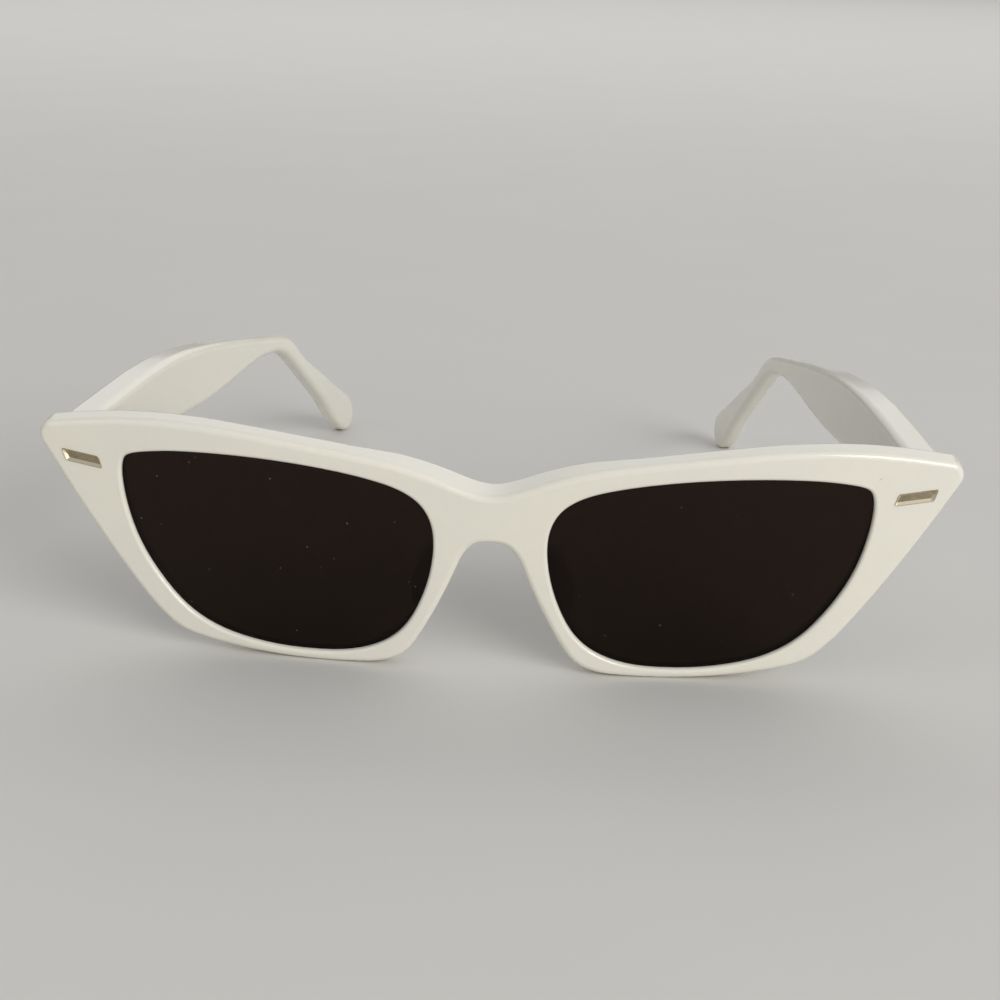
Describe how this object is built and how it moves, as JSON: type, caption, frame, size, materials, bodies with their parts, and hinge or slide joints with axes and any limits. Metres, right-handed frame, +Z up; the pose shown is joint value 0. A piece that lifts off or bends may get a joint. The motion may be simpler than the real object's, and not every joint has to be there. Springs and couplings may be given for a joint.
{
  "type": "cat eye sunglasses",
  "caption": "Cat eye sunglasses with a flat ivory acetate front, dark lenses, slim metal plaques at the upswept corners and folding temples on riveted barrel hinges.",
  "frame": {"origin": "on the table, under the middle of the glasses as they stand open on the lower rims and the ear ends", "axes": "+X across the front towards the wearer's left ear, +Y from the front back to the ear ends, +Z up"},
  "size_m": [0.1464, 0.1414, 0.0415],
  "materials": {
    "acetate": "polished ivory cellulose acetate, softly rounded edges, fine handling scratches",
    "lens_tint": "very dark brown-grey tint, glossy, with a little dust",
    "plaque_metal": "satin field with a polished bevel",
    "hinge_metal": "tumbled nickel silver",
    "screw_steel": "bright turned steel",
    "wire_metal": "plain drawn nickel silver wire, sealed in the temple"
  },
  "bodies": {
    "front": {"front_frame": "acetate", "lens_left": "lens_tint", "lens_right": "lens_tint", "nose_pad_left": "acetate", "nose_pad_right": "acetate", "plaque_left": "plaque_metal", "plaque_right": "plaque_metal", "front_hinge_leaf_left": "hinge_metal", "front_hinge_leaf_right": "hinge_metal", "hinge_screw_left": "screw_steel", "hinge_screw_right": "screw_steel"},
    "temple_left": {"temple_arm_left": "acetate", "temple_hinge_leaf_left": "hinge_metal", "temple_rivets_left": "plaque_metal", "core_wire_left": "wire_metal"},
    "temple_right": {"temple_arm_right": "acetate", "temple_hinge_leaf_right": "hinge_metal", "temple_rivets_right": "plaque_metal", "core_wire_right": "wire_metal"}
  },
  "joints": [
    {"name": "fold_left", "type": "hinge", "parent": "front", "child": "temple_left", "pos_m": [0.062, -0.06012, 0.03531], "axis": [0, -0.1219, 0.9925], "range_deg": [0, 84]},
    {"name": "fold_right", "type": "hinge", "parent": "front", "child": "temple_right", "pos_m": [-0.062, -0.06012, 0.03531], "axis": [0, 0.1219, -0.9925], "range_deg": [0, 76]}
  ]
}
